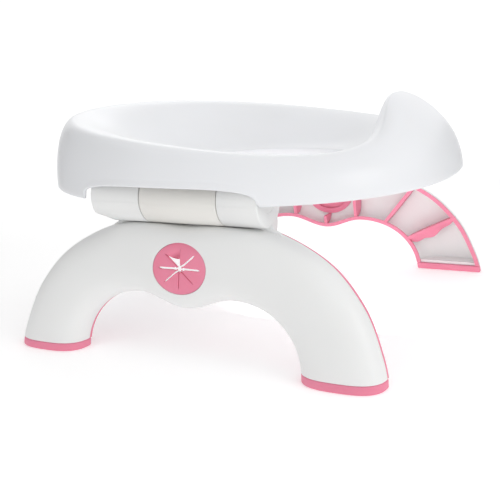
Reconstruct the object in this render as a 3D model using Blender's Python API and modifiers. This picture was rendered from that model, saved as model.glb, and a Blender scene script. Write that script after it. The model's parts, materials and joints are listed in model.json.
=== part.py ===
"""Folding travel potty chair: a moulded seat with a splash guard on two arched, hinged legs.

All sizes are in millimetres and become metres when a mesh is made. +Z is up, the splash guard faces -Y,
and the origin is on the floor under the middle of the seat. Left is -X, as seen from the front.
"""

import math

import bmesh
import bpy
import numpy as np
from mathutils import Matrix

MM = 0.001
GAP = 0.3
OVERCUT = 2.0

# Seat shell
SEAT_HALF_WIDTH = 156.0
SEAT_HALF_LENGTH = 167.5
SKIRT_BOTTOM = 118.4
CREST_HALF_WIDTH = 138.0
CREST_HALF_LENGTH = 151.5
CREST_HEIGHT = 157.4
CREST_RISE_TO_REAR = 0.115
SKIRT_SQUARENESS = 2.24
CREST_SQUARENESS = 2.17
SHOULDER_SQUARENESS = 2.1
GUARD_SQUARENESS = 1.6
SEAT_WALL = 2.6
OPENING_HALF_WIDTH = 67.0
OPENING_HALF_LENGTH = 81.0
OPENING_CENTRE_Y = -14.0
OPENING_EDGE = 128.0
LIP_DROP = 7.0
GUARD_RISE = 41.9
GUARD_SETBACK = 30.0
GUARD_HALF_ANGLE = math.radians(22.0)
GUARD_FALLOFF = 2.6
GUARD_TAIL = 0.05
RING_STEPS = 56

# Notch in the skirt over each hinge
NOTCH_CENTRE_Y = 3.6
NOTCH_HALF_LENGTH = 73.2
NOTCH_HEIGHT = 13.0
NOTCH_SQUARENESS = 3.3

# Legs: the outline is in the Y-Z plane and the depth runs outwards along X
LEG_Y = -5.5
LEG_HEIGHT = 99.0
LEG_SPLAY = math.tan(math.radians(11.3))
RIM_X_AT_TOP = 121.0
LEG_DEPTH = 21.4
LEG_ROUNDNESS = 2.8
LEG_WALL = 2.7
LEG_OUTER = [
    (152.2, 0.0), (145.5, 26.0), (132.5, 52.0), (108.0, 77.3), (69.6, 95.6), (32.6, 100.8), (0.0, 99.0)
]
ARCH_HALF_WIDTH = 91.9
ARCH_TOP_Y = 38.2
ARCH_TOP = 48.2
ARCH_MIDDLE = 38.9
ARCH_ROUNDNESS = 2.1
HALF_STATIONS = 13
SECTION_STEPS = 10
PAD_HEIGHT = 6.0

# Soft grip liner in each leg
RIM_DEPTH = 4.2
RIM_WIDTH = 3.8
RIB_THICKNESS = 3.0
RIB_RECESS = 0.4
RIBS = [((32.4, 40.0), (32.4, 104.0)), ((57.0, 40.5), (92.0, 83.0)), ((77.0, 27.6), (140.0, 59.0))]
FLAP_LENGTH = 13.0
FLAP_THICKNESS = 1.5
DISC_HEIGHT = 71.2
DISC_HALF_WIDTH = 21.9
DISC_HALF_HEIGHT = 18.1
DISC_FLANGE = 2.6
DISC_FLANGE_THICKNESS = 1.4
SLIT_LENGTH = 35.0
SLIT_WIDTH = 0.9
SLIT_COUNT = 4

# Hinges, whose axis runs along Y
HINGE_X = 126.0
HINGE_Z = 118.8
KNUCKLE_RADIUS = 19.0
FIXED_HALF_LENGTH = 31.4
SEAM = 1.2
BARREL_ENDS = {-1: 63.6, 1: 74.6}
BARREL_EDGE = 1.2
BARREL_HEEL = [
    (72.6, 107.6), (80.0, 107.6), (80.0, 90.0), (62.2, 90.0), (62.2, 100.0), (64.8, 103.6), (69.4, 105.9)
]
BARREL_ROOM = 0.4
PIN_RADIUS = 4.0
PIN_CLEARANCE = 0.08
CAP_RADIUS = 8.0
CAP_THICKNESS = 3.0
LUG_INNER_X = 112.0
LUG_OUTER_X = 133.4
LUG_ENDS = {-1: 62.6, 1: 60.3}
LUG_BOTTOM = 86.0
SADDLE = [
    (127.2, 88.0), (142.0, 88.0), (141.4, 92.4), (139.2, 96.2), (135.8, 99.0), (132.0, 100.6), (127.2, 100.6)
]
SADDLE_HALF_LENGTH = 61.2
WASHER_RADIUS = 10.0
WASHER_THICKNESS = 0.6
PLUNGER_ORBIT = 13.0
PLUNGER_RADIUS = 3.0
PLUNGER_LENGTH = 10.0
PLUNGER_PROUD = 0.45
PLUNGER_TRAVEL = 1.0
SPRING_LENGTH = 6.0
SPRING_TURNS = 4
SPRING_WIRE = 0.3
FOLD_IN = 90.0
FOLD_OUT = 78.7

# Hinge block under the seat
BLOCK_TOP = 133.0
BLOCK_FLANGE = 3.5
BLOCK_INNER_X = 97.0
BLOCK_WAIST_X = 112.5
BLOCK_OUTER_X = 142.0
BOSS_X = 104.0
BOSS_SPACING = 22.0
BOSS_RADIUS = 4.5
BOSS_HEIGHTS = (6.5, 7.2, 9.5)
SCREW_RADIUS = 1.9
SCREW_HEAD_RADIUS = 3.6
SCREW_HEAD = 1.8
SCREW_LENGTH = 7.6


def clear_scene():
    for obj in list(bpy.data.objects):
        bpy.data.objects.remove(obj, do_unlink=True)


def new_collection(name):
    collection = bpy.data.collections.new(name)
    bpy.context.scene.collection.children.link(collection)
    return collection


def new_material(name, colour, roughness, metallic=0.0):
    material = bpy.data.materials.new(name)
    material.use_nodes = True
    shader = material.node_tree.nodes["Principled BSDF"]
    shader.inputs["Base Color"].default_value = (*colour, 1.0)
    shader.inputs["Roughness"].default_value = roughness
    shader.inputs["Metallic"].default_value = metallic
    return material


clear_scene()
PARTS = new_collection("travel_potty_chair")
CUTTERS = new_collection("cutters")
GLOSS_WHITE = new_material("gloss_white_plastic", (0.86, 0.87, 0.89), 0.25)
SATIN_WHITE = new_material("satin_white_plastic", (0.84, 0.84, 0.83), 0.42)
SOFT_PINK = new_material("soft_pink_rubber", (0.86, 0.22, 0.36), 0.55)
STEEL = new_material("bright_steel", (0.62, 0.62, 0.63), 0.3, 1.0)
ACETAL = new_material("natural_acetal", (0.78, 0.77, 0.72), 0.5)


def add_object(name, bm, material=None):
    """A mesh object from a bmesh in millimetres. With no material it is a cutter."""
    bmesh.ops.recalc_face_normals(bm, faces=bm.faces)
    bmesh.ops.scale(bm, vec=(MM, MM, MM), verts=bm.verts)
    mesh = bpy.data.meshes.new(name)
    bm.to_mesh(mesh)
    bm.free()
    obj = bpy.data.objects.new(name, mesh)
    if material:
        mesh.materials.append(material)
        mesh.shade_smooth()
        mesh.set_sharp_from_angle(angle=math.radians(35))
        PARTS.objects.link(obj)
    else:
        obj.hide_render = True
        obj.display_type = "WIRE"
        CUTTERS.objects.link(obj)
    return obj


def combine(obj, operation, *others):
    """Boolean modifiers that join the other meshes to obj, or cut them from it."""
    for other in others:
        modifier = obj.modifiers.new(operation.lower(), "BOOLEAN")
        modifier.operation = operation
        modifier.object = other


def join_loops(bm, lower, upper):
    for i in range(len(lower)):
        bm.faces.new((lower[i - 1], lower[i], upper[i], upper[i - 1]))


def circle(radius, offset, axis, sides):
    """Points round an axis through the origin, at an offset along it."""
    turns = [2 * math.pi * step / sides for step in range(sides)]
    if axis == "Y":
        return [np.array((radius * math.cos(t), offset, radius * math.sin(t))) for t in turns]
    return [np.array((radius * math.cos(t), radius * math.sin(t), offset)) for t in turns]


def loft(name, rings, material=None, capped=True):
    """A skin through rings of points with equal counts, closed round each ring."""
    bm = bmesh.new()
    loops = [[bm.verts.new(point) for point in ring] for ring in rings]
    for lower, upper in zip(loops, loops[1:]):
        join_loops(bm, lower, upper)
    if capped:
        bm.faces.new(loops[0])
        bm.faces.new(loops[-1])
    return add_object(name, bm, material)


def turned(bm, centre, axis):
    """Turns a shape made along Z so that it runs along axis, and moves it to centre."""
    angle, about = {"X": (math.pi / 2, "Y"), "Y": (math.pi / 2, "X"), "Z": (0.0, "X")}[axis]
    bmesh.ops.rotate(bm, matrix=Matrix.Rotation(angle, 3, about), verts=bm.verts)
    bmesh.ops.translate(bm, vec=centre, verts=bm.verts)
    return bm


def cylinder(name, centre, radius, length, axis, material=None, sides=24, end_radius=None):
    """A solid cylinder about centre, or a cone where end_radius is given."""
    bm = bmesh.new()
    far = radius if end_radius is None else end_radius
    bmesh.ops.create_cone(bm, cap_ends=True, segments=sides, radius1=radius, radius2=far, depth=length)
    return add_object(name, turned(bm, centre, axis), material)


def box(name, low, high, material=None):
    bm = bmesh.new()
    bmesh.ops.create_cube(bm, size=1.0)
    low, high = np.array(low, float), np.array(high, float)
    bmesh.ops.scale(bm, vec=np.abs(high - low), verts=bm.verts)
    bmesh.ops.translate(bm, vec=(low + high) / 2, verts=bm.verts)
    return add_object(name, bm, material)


def signed_power(value, exponent):
    return math.copysign(abs(value) ** exponent, value)


def oval(angle, half_width, half_length, squareness):
    """A point of a superellipse: angle 0 is at +X and -90 degrees is at the front."""
    x = half_width * signed_power(math.cos(angle), 2 / squareness)
    return x, half_length * signed_power(math.sin(angle), 2 / squareness)


# ---------------------------------------------------------------- seat shell


def guard_share(angle):
    """1 at the top of the splash guard, falling to 0 round the sides."""
    from_front = abs((angle + math.pi / 2 + math.pi) % (2 * math.pi) - math.pi)
    share = 1 / (1 + (from_front / GUARD_HALF_ANGLE) ** GUARD_FALLOFF)
    return share * share * (1 + GUARD_TAIL) / (share + GUARD_TAIL)


def seat_section(angle):
    """Outer face of the seat at one angle: up the skirt, over the crest and down the dish to the lip."""
    share = guard_share(angle)
    bottom_x, bottom_y = oval(angle, SEAT_HALF_WIDTH, SEAT_HALF_LENGTH, SKIRT_SQUARENESS)
    crest_x, level_y = oval(angle, CREST_HALF_WIDTH, CREST_HALF_LENGTH, CREST_SQUARENESS)
    crest_y = level_y * (1 - share * GUARD_SETBACK / CREST_HALF_LENGTH)
    crest_z = CREST_HEIGHT + CREST_RISE_TO_REAR * level_y + GUARD_RISE * share
    edge_x, edge_y = oval(angle, OPENING_HALF_WIDTH, OPENING_HALF_LENGTH, 2.0)
    edge_y += OPENING_CENTRE_Y
    section = []
    squareness = SHOULDER_SQUARENESS + (GUARD_SQUARENESS - SHOULDER_SQUARENESS) * share
    for step in (0, 22, 40, 55, 68, 80, 90):
        turn = math.radians(step)
        out = math.cos(turn) ** (2 / squareness)
        up = math.sin(turn) ** (2 / squareness)
        x = crest_x + (bottom_x - crest_x) * out
        y = crest_y + (bottom_y - crest_y) * out
        section.append((x, y, SKIRT_BOTTOM + (crest_z - SKIRT_BOTTOM) * up))
    for share_left in (0.93, 0.82, 0.66, 0.48, 0.3, 0.14, 0.0):
        drop = share_left * share_left * (3 - 2 * share_left)
        x = edge_x + (crest_x - edge_x) * share_left
        y = edge_y + (crest_y - edge_y) * share_left
        section.append((x, y, OPENING_EDGE + (crest_z - OPENING_EDGE) * drop))
    section.append((edge_x * 0.975, edge_y, OPENING_EDGE - LIP_DROP / 3))
    section.append((edge_x * 0.97, edge_y, OPENING_EDGE - LIP_DROP))
    return section


def make_seat_shell():
    angles = [2 * math.pi * step / RING_STEPS for step in range(RING_STEPS)]
    sections = [seat_section(angle) for angle in angles]
    rings = [list(ring) for ring in zip(*sections)]
    seat = loft("seat_shell", rings, GLOSS_WHITE, capped=False)
    wall = seat.modifiers.new("wall", "SOLIDIFY")
    wall.thickness = SEAT_WALL * MM
    wall.offset = -1.0
    wall.use_even_offset = True
    notch = [notch_outline(share) for share in np.linspace(-1, 1, 25)]
    low = SKIRT_BOTTOM - 4 * OVERCUT
    outline = [(notch[0][0], low)] + notch + [(notch[-1][0], low)]
    for side in (-1, 1):
        rings = [[(side * x, y, z) for y, z in outline] for x in (136.0, SEAT_HALF_WIDTH + OVERCUT)]
        combine(seat, "DIFFERENCE", loft(f"notch_cutter_{side}", rings))
        ends = [way * (BARREL_ENDS[way] + BARREL_ROOM) for way in (-1, 1)]
        room = hinge_cylinder(f"barrel_room_{side}", side, *ends, KNUCKLE_RADIUS + BARREL_ROOM, sides=40)
        combine(seat, "DIFFERENCE", room)
        for y, rise in zip((-BOSS_SPACING, 0, BOSS_SPACING), BOSS_HEIGHTS):
            centre = (side * BOSS_X, LEG_Y + y)
            middle = BLOCK_TOP + (GAP + rise) / 2
            boss = cylinder("boss", (*centre, middle), BOSS_RADIUS, rise - GAP, "Z", sides=16)
            pilot = cylinder("pilot", (*centre, BLOCK_TOP), SCREW_RADIUS + 0.05, 9.0, "Z", sides=12)
            combine(seat, "UNION", boss)
            combine(seat, "DIFFERENCE", pilot)
    return seat


def notch_outline(share):
    """A point of the notch's arched edge, where share runs from -1 to 1 along the skirt."""
    angle = share * math.pi / 2
    y, z = oval(math.pi / 2 - angle, NOTCH_HALF_LENGTH, NOTCH_HEIGHT, NOTCH_SQUARENESS)
    return NOTCH_CENTRE_Y + y, SKIRT_BOTTOM + z


# ---------------------------------------------------------------- leg outline


def smooth_curve(points, steps):
    """A Catmull-Rom curve through the points, with its last tangent level."""
    points = [np.array(point) for point in points]
    before = points[1] * (1, -1)
    after = points[-2] * (-1, 1)
    padded = [before, *points, after]
    curve = []
    for a, b, c, d in zip(padded, padded[1:], padded[2:], padded[3:]):
        for step in range(steps):
            t = step / steps
            square, cube = (2 * a - 5 * b + 4 * c - d) * t**2, (3 * b - a - 3 * c + d) * t**3
            curve.append(0.5 * (2 * b + (c - a) * t + square + cube))
    curve.append(points[-1])
    return np.array(curve)


def arch_curve(steps):
    """The inner outline from foot to middle: a quarter superellipse, then a wave that dips."""
    curve = []
    for step in range(steps + 1):
        y, z = oval(math.pi / 2 * step / steps, ARCH_HALF_WIDTH - ARCH_TOP_Y, ARCH_TOP, ARCH_ROUNDNESS)
        curve.append((ARCH_TOP_Y + y, z))
    for step in range(1, steps + 1):
        y = ARCH_TOP_Y * (1 - step / steps)
        wave = (1 + math.cos(math.pi * y / ARCH_TOP_Y)) / 2
        curve.append((y, ARCH_TOP - (ARCH_TOP - ARCH_MIDDLE) * wave))
    return np.array(curve)


def inset(curve, distance):
    """The curve moved along its normals. A positive distance moves it to the left of its direction."""
    along = np.gradient(curve, axis=0)
    along[0] = (0.0, 1.0)
    along[-1] = (-1.0, 0.0)
    along /= np.linalg.norm(along, axis=1)[:, None]
    return curve + distance * np.stack((-along[:, 1], along[:, 0]), axis=1)


def resample(curve, foot, count):
    """Points at equal steps along the part of a curve that lies above the height foot."""
    first = int(np.argmax(curve[:, 1] > foot))
    share = (foot - curve[first - 1, 1]) / (curve[first, 1] - curve[first - 1, 1]) if first else 0.0
    start = curve[first - 1] + share * (curve[first] - curve[first - 1]) if first else curve[0]
    curve = np.vstack((start, curve[first:])) if first else curve
    length = np.concatenate(([0.0], np.cumsum(np.linalg.norm(np.diff(curve, axis=0), axis=1))))
    wanted = np.linspace(0, length[-1], count)
    return np.stack([np.interp(wanted, length, curve[:, k]) for k in (0, 1)], axis=1)


def leg_stations(wall, foot):
    """Pairs of outer and inner outline points, from the rear foot over the top to the front foot."""
    outer = resample(inset(smooth_curve(LEG_OUTER, 8), wall), foot, HALF_STATIONS + 1)
    inner = resample(inset(arch_curve(16), -wall), foot, HALF_STATIONS + 1)
    half = list(zip(outer, inner))
    return half + [(a * (-1, 1), b * (-1, 1)) for a, b in half[-2::-1]]


def leg_point(side, y, z, depth):
    """A point of a leg, from its outline position and its depth outwards from the rim plane."""
    return side * (RIM_X_AT_TOP + LEG_SPLAY * (LEG_HEIGHT - z) + depth), LEG_Y + y, z


def leg_block(name, side, near, wall=0.0, foot=0.0, top=None, flat=None, material=None):
    """A closed D-section body along the leg. With flat it is a plain slab from near to flat deep."""
    deep = LEG_DEPTH - wall
    turns = None
    if flat is None:
        first = math.asin((max(near, 0.02) / deep) ** (LEG_ROUNDNESS / 2))
        turns = np.linspace(first, math.pi - first, SECTION_STEPS + 1)
    rings = []
    stations = leg_stations(wall, foot)
    if top is not None:
        stations = [stations[0], leg_stations(wall, top)[0]]
    for outer, inner in stations:
        middle, half = (outer + inner) / 2, (outer - inner) / 2
        if flat is not None:
            section = [(1, near), (1, flat), (-1, flat), (-1, near)]
        else:
            section = [
                (signed_power(math.cos(t), 2 / LEG_ROUNDNESS), deep * math.sin(t) ** (2 / LEG_ROUNDNESS))
                for t in turns
            ]
        rings.append([leg_point(side, *(middle + across * half), depth) for across, depth in section])
    return loft(name, rings, material)


def hinge_cylinder(name, side, start, end, radius, material=None, sides=32, up=0.0):
    """A cylinder along the hinge axis between two distances from the leg's middle."""
    centre = (side * HINGE_X, LEG_Y + (start + end) / 2, HINGE_Z + up)
    return cylinder(name, centre, radius, abs(end - start), "Y", material, sides)


# ---------------------------------------------------------------- legs


def make_leg_shell(side, tag):
    foot = PAD_HEIGHT + GAP
    shell = leg_block(f"leg_shell_{tag}", side, near=RIM_DEPTH + GAP, foot=foot, material=SATIN_WHITE)
    floor = foot + LEG_WALL
    cavity = leg_block(f"cavity_{tag}", side, near=RIM_DEPTH - OVERCUT, wall=LEG_WALL, foot=floor)
    hole = disc_prism(f"disc_hole_{tag}", side, LEG_DEPTH / 4, 7 * LEG_DEPTH / 4, GAP)
    ends = (LEG_Y - SADDLE_HALF_LENGTH, LEG_Y + SADDLE_HALF_LENGTH)
    saddle = loft(f"saddle_{tag}", [[(side * x, y, z) for x, z in SADDLE] for y in ends])
    combine(shell, "UNION", saddle)
    combine(shell, "DIFFERENCE", groove_cutter(side, tag))
    deep = RIM_DEPTH + 2 * GAP
    rim_room = leg_block(f"rim_room_{tag}", side, near=-RIM_DEPTH * 3, wall=-GAP, flat=deep)
    start = FIXED_HALF_LENGTH + SEAM
    for way in (-1, 1):
        end = BARREL_ENDS[way]
        low = (side * LUG_INNER_X, LEG_Y + way * (start + GAP), LUG_BOTTOM)
        high = (side * LUG_OUTER_X, LEG_Y + way * LUG_ENDS[way], HINGE_Z)
        lug = box(f"lug_{tag}", np.minimum(low, high), np.maximum(low, high))
        combine(lug, "DIFFERENCE", rim_room)
        combine(shell, "UNION", make_knuckle(side, tag, way), lug)
    bore = hinge_cylinder(f"bore_{tag}", side, -80, 80, PIN_RADIUS + PIN_CLEARANCE, sides=24)
    combine(shell, "DIFFERENCE", cavity, hole, bore)
    for way in (-1, 1):
        end = BARREL_ENDS[way]
        span = (way * (end - CAP_THICKNESS - GAP), way * (end + OVERCUT))
        cap_seat = hinge_cylinder(f"cap_seat_{tag}", side, *span, CAP_RADIUS + GAP, sides=24)
        combine(shell, "DIFFERENCE", cap_seat)
    for angle in (0.0, FOLD_IN, -FOLD_OUT):
        turn = math.radians(angle)
        x = side * (HINGE_X + PLUNGER_ORBIT * math.sin(turn))
        z = HINGE_Z + PLUNGER_ORBIT * math.cos(turn)
        centre = (x, LEG_Y + start, z)
        dimple = cylinder(f"dimple_{tag}", centre, PLUNGER_RADIUS, 1.6, "Y", sides=12, end_radius=1.0)
        combine(shell, "DIFFERENCE", dimple)
    return shell


def make_knuckle(side, tag, way):
    """A moving knuckle with a small edge rounding. The rear one is cut away under its heel."""
    axis = np.array((side * HINGE_X, LEG_Y, HINGE_Z))
    end = BARREL_ENDS[way]
    profile = [(FIXED_HALF_LENGTH + SEAM, KNUCKLE_RADIUS), (end - BARREL_EDGE, KNUCKLE_RADIUS)]
    profile.append((end, KNUCKLE_RADIUS - BARREL_EDGE))
    rings = [[axis + point for point in circle(radius, way * y, "Y", 40)] for y, radius in profile]
    knuckle = loft(f"knuckle_{tag}", rings)
    if way > 0:
        reach = (HINGE_X - 2 * KNUCKLE_RADIUS, HINGE_X + 2 * KNUCKLE_RADIUS)
        heel = [[(side * x, LEG_Y + y, z) for y, z in BARREL_HEEL] for x in reach]
        combine(knuckle, "DIFFERENCE", loft(f"heel_{tag}", heel))
    return knuckle


def groove_cutter(side, tag):
    """Clears the leg's top from the round barrel above it."""
    ends = [way * (BARREL_ENDS[way] + 3 * OVERCUT) for way in (-1, 1)]
    return hinge_cylinder(f"groove_{tag}", side, *ends, KNUCKLE_RADIUS + 2 * GAP, sides=40)


def disc_prism(name, side, near, far, grow):
    """An elliptical prism through the leg's wall, where grow is added to the disc's outline."""
    turns = [2 * math.pi * step / 40 for step in range(40)]
    rings = []
    for depth in (near, far):
        centre_x, centre_y, centre_z = leg_point(side, 0.0, DISC_HEIGHT, depth)
        rings.append([
            (centre_x, centre_y + (DISC_HALF_WIDTH + grow) * math.cos(t),
             centre_z + (DISC_HALF_HEIGHT + grow) * math.sin(t))
            for t in turns
        ])
    return loft(name, rings)


def make_grip_liner(side, tag):
    """The soft rim round the leg's open side, with its ribs and bag flaps, moulded in one."""
    foot = PAD_HEIGHT + GAP
    liner = leg_block(f"grip_liner_{tag}", side, near=0.0, foot=foot, flat=RIM_DEPTH, material=SOFT_PINK)
    low, deep = foot - OVERCUT, RIM_DEPTH + OVERCUT
    inside = leg_block(f"rim_inside_{tag}", side, near=-OVERCUT, wall=RIM_WIDTH, foot=low, flat=deep)
    combine(liner, "DIFFERENCE", inside)
    ribs = [rib_slab(side, tag, way, *ends) for way in (-1, 1) for ends in RIBS]
    wall, floor = LEG_WALL + 2 * GAP, foot + LEG_WALL + GAP
    plug = leg_block(f"rib_plug_{tag}", side, near=RIB_RECESS, wall=wall, foot=floor)
    disc_bottom = DISC_HEIGHT - DISC_HALF_HEIGHT - DISC_FLANGE - GAP
    ribs.append(rib_slab(side, tag, 1, (0.0, ARCH_MIDDLE), (0.0, disc_bottom), end_room=0.0))
    for rib in ribs:
        combine(rib, "INTERSECT", plug)
        combine(liner, "UNION", rib)
    for way in (-1, 1):
        combine(liner, "UNION", bag_flap(side, tag, way))
    combine(liner, "DIFFERENCE", groove_cutter(side, tag))
    return liner


def rib_slab(side, tag, way, inner, outer, end_room=4.0):
    """A slab across the leg from the inner outline point to the outer one, through its whole depth."""
    inner, outer = np.array(inner), np.array(outer)
    along = (outer - inner) / np.linalg.norm(outer - inner)
    across = np.array((-along[1], along[0])) * RIB_THICKNESS / 2
    start, end = inner - along * end_room, outer + along * min(end_room, 1.0)
    corners = [start - across, start + across, end + across, end - across]
    rings = [[leg_point(side, way * y, z, depth) for y, z in corners] for depth in (-OVERCUT, LEG_DEPTH)]
    return loft(f"rib_{tag}", rings)


def bag_flap(side, tag, way):
    """A thin leaf that stands out from the lowest rib towards the foot, with a waved free edge."""
    inner, outer = (np.array(end) for end in RIBS[-1])
    along = (outer - inner) / np.linalg.norm(outer - inner)
    down = np.array((along[1], -along[0]))
    length = np.linalg.norm(outer - inner)
    edge = []
    for share in np.linspace(0.14, 0.78, 9):
        reach = FLAP_LENGTH * math.sin(math.pi * (share - 0.14) / 0.64) ** 0.6 * (1.15 - 0.5 * share)
        edge.append(inner + along * length * share + down * reach)
    corners = [edge[0] - down, *edge[1:-1], edge[-1] - down]
    rings = [
        [leg_point(side, way * y, z, depth) for y, z in corners]
        for depth in (1.0, 1.0 + FLAP_THICKNESS)
    ]
    return loft(f"flap_{tag}", rings)


def make_slit_disc(side, tag):
    """A soft oval patch in the leg's wall with a flange behind it, cut by slits that cross."""
    inner_wall = LEG_WALL + GAP + DISC_FLANGE_THICKNESS
    disc = leg_block(f"slit_disc_{tag}", side, near=RIM_DEPTH, material=SOFT_PINK)
    outline = disc_prism(f"disc_outline_{tag}", side, LEG_DEPTH / 4, 7 * LEG_DEPTH / 4, 0.0)
    combine(disc, "INTERSECT", outline)
    combine(disc, "DIFFERENCE", leg_block(f"disc_inside_{tag}", side, near=-OVERCUT, wall=inner_wall - GAP))
    flange = leg_block(f"flange_{tag}", side, near=RIM_DEPTH, wall=LEG_WALL + GAP)
    outline = disc_prism(f"flange_outline_{tag}", side, LEG_DEPTH / 4, 7 * LEG_DEPTH / 4, DISC_FLANGE)
    combine(flange, "INTERSECT", outline)
    combine(flange, "DIFFERENCE", leg_block(f"flange_inside_{tag}", side, near=-OVERCUT, wall=inner_wall))
    combine(disc, "UNION", flange)
    centre = leg_point(side, 0.0, DISC_HEIGHT, LEG_DEPTH)
    flatten = DISC_HALF_HEIGHT / DISC_HALF_WIDTH
    for index in range(SLIT_COUNT):
        bm = bmesh.new()
        bmesh.ops.create_cube(bm, size=1.0)
        bmesh.ops.scale(bm, vec=(2 * LEG_DEPTH, SLIT_LENGTH, SLIT_WIDTH), verts=bm.verts)
        turn = Matrix.Rotation(math.pi * index / SLIT_COUNT, 3, "X")
        bmesh.ops.rotate(bm, matrix=turn, verts=bm.verts)
        bmesh.ops.scale(bm, vec=(1.0, 1.0, flatten), verts=bm.verts)
        bmesh.ops.translate(bm, vec=centre, verts=bm.verts)
        combine(disc, "DIFFERENCE", add_object(f"slit_{tag}", bm))
    return disc


def make_foot_pad(side, tag, way, end):
    """A solid soft pad under one foot, following the foot's D-shaped outline."""
    pad = leg_block(f"foot_pad_{end}_{tag}", side, near=0.0, top=PAD_HEIGHT, material=SOFT_PINK)
    if way < 0:
        for vertex in pad.data.vertices:
            vertex.co.y = 2 * LEG_Y * MM - vertex.co.y
        pad.data.flip_normals()
    return pad


# ---------------------------------------------------------------- hinges


def make_hinge_block(side, tag):
    """The fixed middle knuckle, its waist and the flange that is screwed up into the seat."""
    half = FIXED_HALF_LENGTH
    block = hinge_cylinder(f"hinge_block_{tag}", side, -half, half, KNUCKLE_RADIUS, SATIN_WHITE)
    for name, inner_x, outer_x, low, high, step in (
        ("waist", BLOCK_WAIST_X, BLOCK_OUTER_X, HINGE_Z, BLOCK_TOP - 1.0, 0.4),
        ("flange", BLOCK_INNER_X, BLOCK_OUTER_X - 2.0, BLOCK_TOP - BLOCK_FLANGE, BLOCK_TOP, 0.8),
    ):
        corner_a = (side * inner_x, LEG_Y - half + step, low)
        corner_b = (side * outer_x, LEG_Y + half - step, high)
        low_corner, high_corner = np.minimum(corner_a, corner_b), np.maximum(corner_a, corner_b)
        combine(block, "UNION", box(f"{name}_{tag}", low_corner, high_corner))
    bore = hinge_cylinder(f"fixed_bore_{tag}", side, -80, 80, PIN_RADIUS + GAP, sides=24)
    combine(block, "DIFFERENCE", bore)
    depth = PLUNGER_LENGTH + SPRING_LENGTH + 2.0
    pocket = hinge_cylinder(
        f"pocket_{tag}", side, half - depth, half + OVERCUT, PLUNGER_RADIUS + GAP, sides=20, up=PLUNGER_ORBIT
    )
    combine(block, "DIFFERENCE", pocket)
    for y in (-BOSS_SPACING, 0, BOSS_SPACING):
        centre = (side * BOSS_X, LEG_Y + y, BLOCK_TOP)
        hole = cylinder(f"screw_hole_{tag}", centre, SCREW_RADIUS + GAP, 4 * BLOCK_FLANGE, "Z", sides=16)
        combine(block, "DIFFERENCE", hole)
    return block


def make_pin(side, tag):
    ends = [way * (BARREL_ENDS[way] - CAP_THICKNESS - 2 * GAP) for way in (-1, 1)]
    return hinge_cylinder(f"hinge_pin_{tag}", side, *ends, PIN_RADIUS, STEEL, sides=24)


def make_cap(side, tag, way, end):
    outer = BARREL_ENDS[way]
    span = (way * (outer - CAP_THICKNESS), way * outer)
    return hinge_cylinder(f"pin_cap_{end}_{tag}", side, *span, CAP_RADIUS, SATIN_WHITE, sides=24)


def make_washer(side, tag, way, end):
    """A flat ring in the seam beside the fixed knuckle."""
    middle = LEG_Y + way * (FIXED_HALF_LENGTH + SEAM / 2)
    half = WASHER_THICKNESS / 2
    centre = np.array((side * HINGE_X, middle, HINGE_Z))
    rings = []
    for radius, offset in (
        (WASHER_RADIUS, -half), (WASHER_RADIUS, half), (PIN_RADIUS + GAP, half), (PIN_RADIUS + GAP, -half)
    ):
        rings.append([centre + point for point in circle(radius, offset, "Y", 20)])
    name = f"hinge_washer_{end}_{tag}"
    bm = bmesh.new()
    loops = [[bm.verts.new(point) for point in ring] for ring in rings]
    for lower, upper in zip(loops, loops[1:] + loops[:1]):
        join_loops(bm, lower, upper)
    return add_object(name, bm, ACETAL)


def make_plunger(side, tag):
    """A round-nosed pin that presses into the dimples of the rear knuckle."""
    face = FIXED_HALF_LENGTH
    profile = [(PLUNGER_RADIUS, face - PLUNGER_LENGTH), (PLUNGER_RADIUS, face - 1.6), (2.4, face - 0.5)]
    profile += [(1.4, face + 0.2), (0.5, face + PLUNGER_PROUD)]
    centre = np.array((side * HINGE_X, LEG_Y, HINGE_Z + PLUNGER_ORBIT))
    rings = [[centre + point for point in circle(radius, y, "Y", 16)] for radius, y in profile]
    return loft(f"detent_plunger_{tag}", rings, ACETAL)


def make_spring(side, tag):
    """A compression spring behind the plunger, as a bevelled curve."""
    end = FIXED_HALF_LENGTH - PLUNGER_LENGTH - SPRING_WIRE - PLUNGER_TRAVEL - GAP
    start = end - SPRING_LENGTH + 1.0
    radius = PLUNGER_RADIUS - SPRING_WIRE - 0.2
    per_turn = 10
    count = SPRING_TURNS * per_turn + 1
    curve = bpy.data.curves.new(f"detent_spring_{tag}", "CURVE")
    curve.dimensions = "3D"
    curve.bevel_depth = SPRING_WIRE * MM
    curve.bevel_resolution = 1
    curve.use_fill_caps = True
    spline = curve.splines.new("POLY")
    spline.points.add(count - 1)
    for index, point in enumerate(spline.points):
        turn = 2 * math.pi * index / per_turn
        x = side * HINGE_X + radius * math.cos(turn)
        y = LEG_Y + start + (end - start) * index / (count - 1)
        z = HINGE_Z + PLUNGER_ORBIT + radius * math.sin(turn)
        point.co = (x * MM, y * MM, z * MM, 1.0)
    spring = bpy.data.objects.new(f"detent_spring_{tag}", curve)
    curve.materials.append(STEEL)
    PARTS.objects.link(spring)
    return spring


def make_screw(side, tag, number):
    """A self-tapping screw, head down, through the flange into a boss of the seat."""
    y = LEG_Y + (number - 2) * BOSS_SPACING
    centre = np.array((side * BOSS_X, y, BLOCK_TOP - BLOCK_FLANGE - GAP))
    profile = [(SCREW_HEAD_RADIUS, -SCREW_HEAD), (SCREW_HEAD_RADIUS, 0.0), (SCREW_RADIUS, 0.0)]
    profile.append((SCREW_RADIUS, SCREW_LENGTH))
    rings = [[centre + point for point in circle(radius, z, "Z", 12)] for radius, z in profile]
    return loft(f"block_screw_{number}_{tag}", rings, STEEL)


# ---------------------------------------------------------------- assembly


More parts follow.
